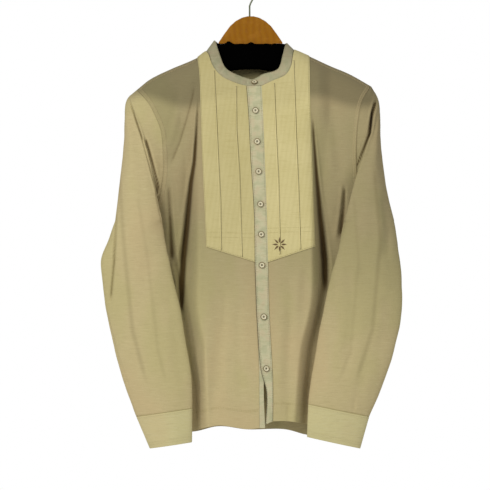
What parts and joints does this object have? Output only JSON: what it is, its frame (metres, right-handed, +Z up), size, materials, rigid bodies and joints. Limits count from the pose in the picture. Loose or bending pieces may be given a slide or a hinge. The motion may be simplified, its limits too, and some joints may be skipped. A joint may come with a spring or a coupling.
{
  "type": "mandarin collar shirt on a hanger",
  "caption": "Long-sleeved shirt with a standing band collar, a tucked bib and a buttoned placket, hanging on a padded hanger with a wire hook.",
  "frame": {"origin": "inside top of the hook, where it bears on the rail", "axes": "+Z up, -Y out of the shirt's front, +X to the viewer's right, which is the wearer's left"},
  "size_m": [0.5737, 0.1032, 0.904],
  "materials": {
    "jersey": "melange cotton jersey, khaki beige, matt",
    "cuff_cloth": "paler melange cotton jersey, matt",
    "beige_cloth": "plain woven cotton, grey beige, matt",
    "bib_cloth": "woven cotton, cream with fine stripes, matt",
    "pearl": "cream mother-of-pearl look, polished",
    "wire": "dull grey-green steel wire",
    "wood": "orange-brown varnished wood, worn",
    "pad_cloth": "black cloth cover, matt"
  },
  "bodies": {
    "root": {"front_right": "jersey", "front_left": "jersey", "back": "jersey", "sleeve_right": "jersey", "sleeve_left": "jersey", "cuff_right": "cuff_cloth", "cuff_left": "cuff_cloth", "collar": "beige_cloth", "placket": "beige_cloth", "placket_under": "beige_cloth", "bib_right": "bib_cloth", "bib_left": "bib_cloth", "button_1": "pearl", "button_2": "pearl", "button_3": "pearl", "button_4": "pearl", "button_5": "pearl", "button_6": "pearl", "button_7": "pearl", "button_8": "pearl", "button_9": "pearl", "hanger_hook": "wire", "hanger_wood": "wood", "hanger_pad": "pad_cloth"}
  },
  "joints": []
}
